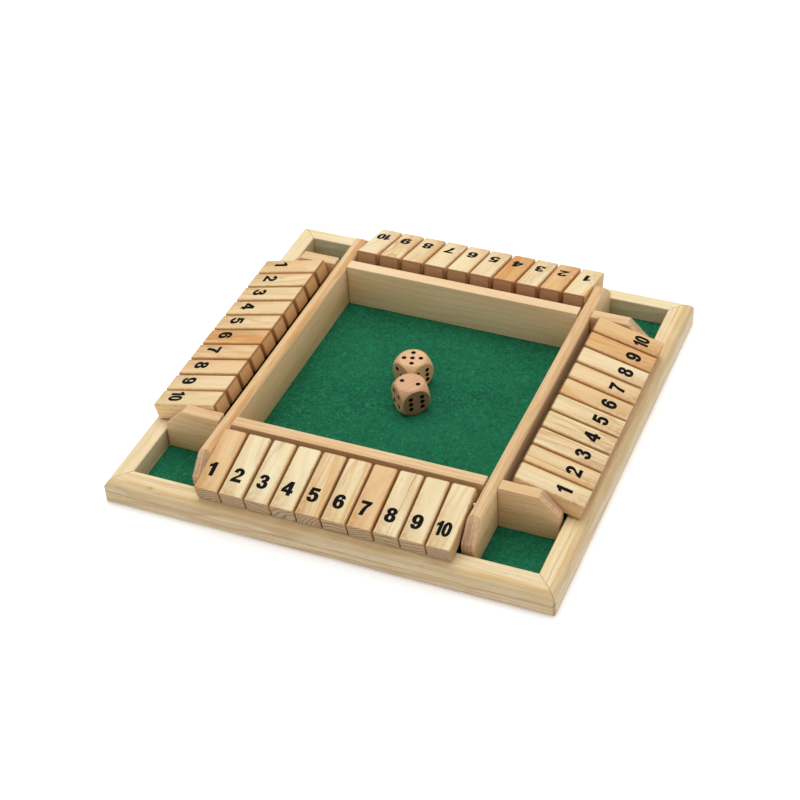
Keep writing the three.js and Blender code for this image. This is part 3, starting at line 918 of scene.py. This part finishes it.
# How tan each rail is, and its seed, heart, ring, figure and runout as pine_finish takes them
RAIL_LOOKS = {
    "front": (0.10, 3.0, (12.0, 46.0), 3.4, 0.55, (0.3, 0.8)),
    "right": (0.07, 11.0, (34.0, 30.0), 3.0, 0.42, (0.5, -0.7)),
    "back": (-0.06, 23.0, (18.0, 60.0), 4.0, 0.30, (0.3, 0.5)),
    "left": (0.05, 31.0, (25.0, 52.0), 4.2, 0.28, (-0.4, 0.6)),
}
# The marks that run along two of the rails. A rail lies along X here with its outer side towards -Y,
# so a line on the side is placed by its height and one on the top by its Y.
# The dark line 0.6 mm up the side of both rails is a painted contact shadow along the foot
RAIL_MARKS = {
    "front": {
        "bands": (
            ("side", 8, 0.85, 0.6, 0.004), ("side", 6.8, 2, 0.35), ("side", 4, 0.8, 0.4, -0.003),
            ("side", 1.9, 0.85, 0.4), ("top", -131.4, 0.6, 0.45), ("top", -134, 0.7, 0.3, 0.006),
            ("shoulder", -86.6, 2.6, 0.6, 0.003), ("shoulder", -90.4, 2.4, 0.3), ("side", 0.6, 0.85, 0.7),
            ("shoulder", -88, 8, 0.15),
        ),
        "knots": (
            (-112, -137.5, 15.6, 1.6, 2), (-61, -137, 15.9, 0.9, 3), (-46, -136.5, 16, 0.7, 5),
            (-134, -137.6, 15.6, 0.7, 5), (-30, -140.2, 13.7, 0.6, 9), (22, -139.2, 14.7, 0.7, 8),
            (74, -140, 13.9, 0.6, 8), (-92, -132, 16.4, 0.6, 8),
        ),
    },
    "right": {
        "bands": (
            ("top", -134.2, 0.7, 0.4), ("shoulder", -85.4, 0.8, 0.3, 0.004),
            ("shoulder", -88.2, 0.7, 0.25, -0.002), ("shoulder", -85.8, 2.8, 0.4),
            ("shoulder", -90.2, 2.6, 0.4), ("shoulder", -88, 9, 0.3), ("side", 2.6, 1.4, 0.4),
            ("side", 0.6, 0.85, 0.7),
        ),
        "knots": (
            (-62, -139.4, 14.5, 0.9, 12), (-48, -138.2, 15.3, 0.8, 10), (-20, -139, 14.9, 0.9, 14),
            (38, -137.6, 15.6, 0.8, 10), (96, -136, 16.2, 0.7, 7), (116, -132.5, 16.4, 0.6, 6),
        ),
    },
}


def toned(colours, tone):
    """The pine's colour, part of the way towards tan."""
    return tuple(p + (t - p) * tone for p, t in zip(colours.pine, colours.tan))


class SHUTBOX_OT_rails(bpy.types.Operator):
    """Makes the four mitred rails of the tray"""

    bl_idname = "shutbox.make_rails"
    bl_label = "Rails"

    def execute(self, context):
        sizes, colours = sizes_of(context), colours_of(context)
        low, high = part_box("rail_front")
        data = rail_mesh(sizes, -low.y, high.z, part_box("base_board")[1].z)
        wear_edges(data)
        for quarter, side in enumerate(SIDES):
            tone, *figure = RAIL_LOOKS[side]
            finish = pine_finish(
                f"rail_pine_{side}", toned(colours, tone), colours.pine_line, *figure, edge_wear_and_shade=0.3,
                side_shade_tint=RAIL_SIDE_SHADE, **RAIL_MARKS.get(side, {}),
            )
            matrix = quarter_turn(quarter)
            put_piece(f"rail_wood_{side}", data.copy(), matrix, "tray", finish, f"rail_{side}")
        return {"FINISHED"}


# Painted light: the walls' faces are made a little paler than their tops, and the back cross wall, whose face
# stands in shade, is made paler all over
WALL_SIDE_LIGHT = (1.07, 1.08, 1.08)
WALL_PAINTED_LIGHT = {"cross_wall_back": (1.12, 1.17, 1.27)}
STUB_CORNERS = ("front_right", "back_left", "back_right", "front_left")
# The seed, heart, ring, figure and runout of each wall's wood as pine_finish takes them, and its marks
WALL_LOOKS = {
    "divider_right": (41.0, (20.0, 70.0), 3.6, 0.6, (0.2, 0.5)),
    "divider_left": (47.0, (9.0, 55.0), 2.8, 0.6, (0.3, 0.5)),
    "cross_wall_front": (53.0, (15.0, 44.0), 3.0, 0.4, (0.4, 0.4)),
    "cross_wall_back": (59.0, (26.0, 35.0), 4.5, 0.25, (0.2, 0.6)),
}
WALL_LOOKS.update({
    f"stub_wall_{corner}": (61.0 + 7.0 * index, (14.0 + 6.0 * index, 38.0), 3.2, 0.5, (0.6, 0.9))
    for index, corner in enumerate(STUB_CORNERS)
})
WALL_MARKS = {
    "divider_right": {"bands": (("top", -1.4, 1.6, 0.6), ("top", 1.6, 0.6, 0.5), ("top", 0.2, 0.5, 0.35))},
    "divider_left": {"bands": (("top", 1.9, 2.4, 0.9),)},
    "cross_wall_front": {"bands": (("top", -2.3, 1.3, 0.55), ("top", 0.9, 0.6, 0.4))},
    "cross_wall_back": {"knots": ((-79.8, -4.0, 22.0, 0.8, 1.5),)},
}


class SHUTBOX_OT_walls(bpy.types.Operator):
    """Makes the two dividers, the two cross walls and the four stub walls"""

    bl_idname = "shutbox.make_walls"
    bl_label = "Walls"

    def execute(self, context):
        sizes = sizes_of(context)
        low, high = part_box("divider_right")
        middle = (low.x + high.x) / 2
        for side, quarter in (("right", 1), ("left", 3)):
            matrix = quarter_turn(quarter) @ Matrix.Translation((0, -middle, 0))
            self.wall(context, "divider", side, (low.y, high.y), (True, True), sizes.divider_crown, matrix)
        for side, sign in (("front", -1), ("back", 1)):
            low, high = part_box(f"cross_wall_{side}")
            matrix = Matrix.Translation((0, sign * middle, 0))
            self.wall(context, "cross", side, (low.x, high.x), (False, False), sizes.wall_edge_break, matrix)
        for corner in STUB_CORNERS:
            low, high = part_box(f"stub_wall_{corner}")
            matrix = Matrix.Translation((0, (low.y + high.y) / 2, 0))
            open_ends = (corner.endswith("left"), corner.endswith("right"))
            self.wall(context, "stub", corner, (low.x, high.x), open_ends, sizes.wall_edge_break, matrix)
        return {"FINISHED"}

    def wall(self, context, kind, where, span, open_ends, crown, matrix):
        colours = colours_of(context)
        node = f"divider_{where}" if kind == "divider" else f"{kind}_wall_{where}"
        low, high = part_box("divider_right")
        data = wall_mesh(node, span, open_ends, sizes_of(context), low.z, high.z, high.x - low.x, crown)
        pale = tinted(colours.wall_pine, *WALL_PAINTED_LIGHT.get(node, UNTINTED))
        finish = pine_finish(
            f"{kind}_pine_{where}", pale, colours.pine_line, *WALL_LOOKS[node], end=WALL_END, rings_at_end=0.15,
            end_streaks=0.75, side_shade_tint=WALL_SIDE_LIGHT, **WALL_MARKS.get(node, {}),
        )
        put_piece(f"{kind}_wood_{where}", data, matrix, "tray", finish, node)


def tile_tilt():
    """How far a tile leans, from the largest flat face of its CAD solid."""
    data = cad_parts["tile_front_05"].data
    face = max(data.polygons, key=lambda polygon: polygon.area)
    return math.atan(abs(face.normal.y / face.normal.z))


def tile_matrix(quarter, number):
    """Where a tile's rod crosses its middle, turned and leant as its CAD solid is."""
    low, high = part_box(f"tile_front_{number:02d}")
    rod_low, rod_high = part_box("rod_front")
    place = Vector(((low.x + high.x) / 2, (rod_low.y + rod_high.y) / 2, (rod_low.z + rod_high.z) / 2))
    return quarter_turn(quarter) @ Matrix.Translation(place) @ Matrix.Rotation(tile_tilt(), 4, "X")


# How each tile looks, from 1 to 10: its tone from pale to tan, how strongly its grain shows, and its
# bands as pine_finish takes them, but for their direction, which is always across the top
TILE_LOOKS = {
    "front": (
        (0.48, 0.35, (-5, 5, 0.3)),
        (-0.08, 0.35, (-3.5, 3, 0.35, 0.12), (6.6, 1.2, 0.5)),
        (-0.08, 0.45, (6.2, 2.4, 0.6), (-1, 0.6, 0.35, 0.03)),
        (0.03, 0.15),
        (0.24, 0.45, (2.8, 3.6, 0.75, 0.1), (-4.8, 1.6, 0.5)),
        (0.05, 0.5, (4.6, 1.8, 0.7), (-1.6, 2.4, 0.45, 0.06), (5.4, 0.6, 0.5)),
        (0.55, 0.3),
        (-0.03, 0.35, (2.6, 0.6, 0.75, -0.04), (3.6, 1.4, 0.35)),
        (0.04, 0.2, (5.8, 0.6, 0.35, 0.02)),
        (-0.03, 0.25, (1.5, 2, 0.2, 0.03)),
    ),
    "right": (
        (0.18, 0.3, (5.8, 1.6, 0.4)),
        (0.13, 0.5, (-6, 2.6, 0.75), (-3.1, 0.7, 0.7), (5.8, 1.4, 0.6), (1.6, 0.5, 0.3, 0.02)),
        (0.11, 0.55, (-2.2, 0.7, 0.65, 0.01), (-0.6, 0.5, 0.45), (-3.6, 0.5, 0.45), (2.6, 0.5, 0.3)),
        (0.1, 0.55, (-1.8, 0.6, 0.5, 0.04), (0.4, 0.6, 0.5, 0.06), (2.6, 0.5, 0.4, 0.1), (-4.4, 0.5, 0.3)),
        (0.05, 0.5, (2.6, 0.6, 0.55), (4.4, 0.7, 0.6), (-2, 0.5, 0.35)),
        (0.38, 0.35, (-6.8, 7, 0.75, -0.36), (-2.4, 1.2, 0.5, -0.3), (6.4, 1.6, 0.4)),
        (0.34, 0.25, (5.8, 1.6, 0.6), (-6.2, 1.6, 0.5)),
        (0.14, 0.2, (-6, 2, 0.4)),
        (0.62, 0.6, (0.6, 3, 0.6, 0.1), (-3.6, 1.4, 0.5, 0.1), (4.6, 1.6, 0.6, 0.05)),
        (0.62, 0.3, (-5.4, 2.6, 0.35)),
    ),
    "back": (
        (0.11, 0.25, (-8.6, 6, 0.7, -0.22)),
        (0.7, 0.4, (1.5, 0.9, 0.3), (5.6, 1.4, 0.4)),
        (0.1, 0.35, (2.2, 0.7, 0.4), (5.6, 1.6, 0.5)),
        (0.8, 0.45, (2.4, 5, 0.85, 0.04), (6, 1.2, 0.5)),
        (0.14, 0.2),
        (0.09, 0.2),
        (0.11, 0.12, (5.8, 1.2, 0.3)),
        (0.06, 0.35, (-5, 4.6, 0.7), (-2.6, 0.7, 0.4)),
        (0.18, 0.6, (-2.6, 1.6, 0.5, 0.1), (1.8, 1.6, 0.45, -0.1)),
        (0.04, 0.2),
    ),
    "left": (
        (0.4, 0.3),
        (0.2, 0.4, (-5.6, 2.4, 0.6), (2.4, 1.6, 0.35)),
        (0.17, 0.4, (-4.4, 2, 0.4), (1.4, 1.6, 0.35)),
        (0.36, 0.2),
        (0.24, 0.4, (3.2, 1.6, 0.4)),
        (0.64, 0.65, (2.6, 7.5, 0.85, -0.06), (-0.6, 0.8, 0.7, 0.1), (3.4, 1.2, 0.4)),
        (0.44, 0.5, (1, 1.8, 0.45), (-5.8, 1.8, 0.6)),
        (0.46, 0.25, (-5.9, 1.2, 0.7)),
        (0.2, 0.2),
        (0.13, 0.25, (-6.2, 1, 0.5)),
    ),
}
# Small dark specks where a twig grew, in millimetres from where the rod crosses the tile's middle
TILE_KNOTS = {"left_02": ((4.0, -2.5, 5.5, 0.9, 2),), "left_05": ((-1.2, -3.0, 5.5, 0.8, 2),)}
# How far each row has slid along its rod within its slack, in millimetres towards the player's right
ROW_SLIDES = {"front": -0.5, "right": -0.5, "back": -0.45, "left": 0.5}
# What the grain of all tiles is strengthened by
TILE_FIGURE = 1.3
# Painted shade and light: the tints that darken each row's long sides, where they stand in the gaps between
# its tiles; those of three end tiles whose sides lie open, two darkened less and one made paler; and those of
# its inner ends, which give their end-grain colour and, on the left row, painted light
ROW_SIDE_SHADES = {
    "front": (0.60, 0.46, 0.37), "right": (0.68, 0.53, 0.42), "back": (0.80, 0.65, 0.52),
    "left": (0.68, 0.53, 0.42),
}
OPEN_SIDE_SHADES = {"right_01": (0.91, 0.76, 0.62), "back_01": (0.91, 0.76, 0.62), "left_10": (1.12, 1.02, 0.87)}
ROW_END_TONE_AND_LIGHT = {
    "front": (1.05, 0.70, 0.50), "right": (1.05, 0.70, 0.50), "back": (1.08, 0.72, 0.50),
    "left": (1.77, 1.42, 0.91),
}


class SHUTBOX_OT_tiles(bpy.types.Operator):
    """Makes the forty tiles"""

    bl_idname = "shutbox.make_tiles"
    bl_label = "Tiles"

    def execute(self, context):
        colours = colours_of(context)
        pattern = tile_mesh(sizes_of(context))
        wear_edges(pattern, 14)
        draw = random.Random(7)
        for quarter, side in enumerate(SIDES):
            for number, (tone, figure, *bands) in enumerate(TILE_LOOKS[side], 1):
                name = f"{side}_{number:02d}"
                side_shade = OPEN_SIDE_SHADES.get(name, ROW_SIDE_SHADES[side])
                finish = pine_finish(
                    f"tile_pine_{name}", toned(colours, tone), colours.pine_line, seed=draw.uniform(0, 60),
                    heart=(draw.uniform(-26, 26), draw.uniform(12, 48)), ring=draw.uniform(2.0, 4.0),
                    figure=figure * TILE_FIGURE, runout=(draw.uniform(-4.5, 4.5), draw.uniform(-1.5, 1.5)),
                    along=1, rings_at_end=1.0, far_tint=ROW_END_TONE_AND_LIGHT[side], side_shade_tint=side_shade, edge_wear_and_shade=0.8,
                    knots=TILE_KNOTS.get(name, ()), bands=[("top", *band) for band in bands],
                )
                slide = Matrix.Translation(((ROW_SLIDES[side] + draw.uniform(-0.1, 0.1)) * MM, 0, 0))
                twist = Matrix.Rotation(math.radians(draw.uniform(-0.25, 0.25)), 4, "Z")
                matrix = tile_matrix(quarter, number) @ (slide @ twist)
                node = f"tile_{name}"
                put_piece(f"tile_wood_{name}", pattern.copy(), matrix, node, finish, node)
        return {"FINISHED"}


# Where each row's numbers stand from the middle of a tile, in millimetres along the row and along the
# tile, halfway between 5 and 6. The line of numbers is not quite parallel to the row: each stands a
# little further out than the one before.
NUMBER_PLACES = {"front": (-1.3, -22.1), "right": (-0.3, -21.9), "back": (0.5, -21.9), "left": (-1.1, -22.8)}
NUMBER_CREEP = 0.19


class SHUTBOX_OT_numbers(bpy.types.Operator):
    """Paints the numbers on the tiles"""

    bl_idname = "shutbox.paint_numbers"
    bl_label = "Numbers"

    def execute(self, context):
        sizes = sizes_of(context)
        finish = ink_finish("number_ink", colours_of(context).ink)
        shapes = [number_mesh(number, sizes) for number in range(1, TILES_PER_ROW + 1)]
        height = (sizes.tile_thickness + sizes.number_lift) / 2
        for side in SIDES:
            along, out = NUMBER_PLACES[side]
            for number, shape in enumerate(shapes, 1):
                name = f"{side}_{number:02d}"
                wood = bpy.data.objects.get(f"tile_wood_{name}")
                if wood is None:
                    raise RuntimeError("make the tiles before their numbers")
                creep = (number - (TILES_PER_ROW + 1) / 2) * NUMBER_CREEP
                matrix = wood.matrix_world @ Matrix.Translation((along * MM, (out - creep) * MM, height))
                put_piece(f"number_{name}", shape.copy(), matrix, f"tile_{name}", finish)
        return {"FINISHED"}


RIGHT, BACK, UP = Vector((1, 0, 0)), Vector((0, 1, 0)), Vector((0, 0, 1))
# Each die's turn, the tint of its wood, how dark its end grain is, and its faces as die_mesh takes them.
# The front die shows 2 on top, 4 to the left and 6 to the right; the rear one 5, 3 and 6.
DICE = {
    "front": (45.0, (0.95, 0.88, 0.74), 0.42, (
        (UP, RIGHT, 2), (-BACK, UP, 6), (-RIGHT, UP, 4), (-UP, RIGHT, 5), (BACK, RIGHT, 1), (RIGHT, UP, 3),
    )),
    "rear": (-29.3, (1.08, 1.06, 0.88), 0.85, (
        (UP, RIGHT, 5), (-BACK, RIGHT, 3), (-RIGHT, UP, 1), (-UP, RIGHT, 2), (BACK, RIGHT, 4), (RIGHT, UP, 6),
    )),
}


class SHUTBOX_OT_dice(bpy.types.Operator):
    """Makes the two dice"""

    bl_idname = "shutbox.make_dice"
    bl_label = "Dice"

    def execute(self, context):
        colours = colours_of(context)
        ink = ink_finish("spot_ink", colours.ink)
        for index, (place, (turn, tint, shade, faces)) in enumerate(DICE.items()):
            node = f"die_{place}"
            low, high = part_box(node)
            wood = beech_finish(f"beech_{place}", tinted(colours.beech, *tint), shade, 5.0 + 40.0 * index)
            data = die_mesh(sizes_of(context), faces, node, wood, ink)
            wear_edges(data, 12)
            matrix = Matrix.Translation((low + high) / 2) @ Matrix.Rotation(math.radians(turn), 4, "Z")
            put_piece(f"die_wood_{place}", data, matrix, node, node=node)
        return {"FINISHED"}


STEPS = (
    SHUTBOX_OT_stage, SHUTBOX_OT_base, SHUTBOX_OT_felt, SHUTBOX_OT_rails, SHUTBOX_OT_walls, SHUTBOX_OT_tiles,
    SHUTBOX_OT_numbers, SHUTBOX_OT_dice,
)


class SHUTBOX_PT_workshop(bpy.types.Panel):
    """Lists the steps that make the game"""

    bl_label = "Shut the box"
    bl_idname = "SHUTBOX_PT_workshop"
    bl_space_type = "VIEW_3D"
    bl_region_type = "UI"
    bl_category = "Shut the box"

    def draw(self, context):
        for step in STEPS:
            self.layout.operator(step.bl_idname)
        for group in (sizes_of(context), colours_of(context)):
            for key in group.__annotations__:
                self.layout.prop(group, key)


CLASSES = (ShutBoxSizes, ShutBoxColours, *STEPS, SHUTBOX_PT_workshop)


def register():
    for made in CLASSES:
        bpy.utils.register_class(made)
    bpy.types.Scene.shut_box_sizes = bpy.props.PointerProperty(type=ShutBoxSizes)
    bpy.types.Scene.shut_box_colours = bpy.props.PointerProperty(type=ShutBoxColours)


def unregister():
    del bpy.types.Scene.shut_box_colours
    del bpy.types.Scene.shut_box_sizes
    for made in reversed(CLASSES):
        bpy.utils.unregister_class(made)


def main():
    register()
    for step in STEPS:
        area, action = step.bl_idname.split(".")
        getattr(getattr(bpy.ops, area), action)()


if __name__ == "__main__":
    main()
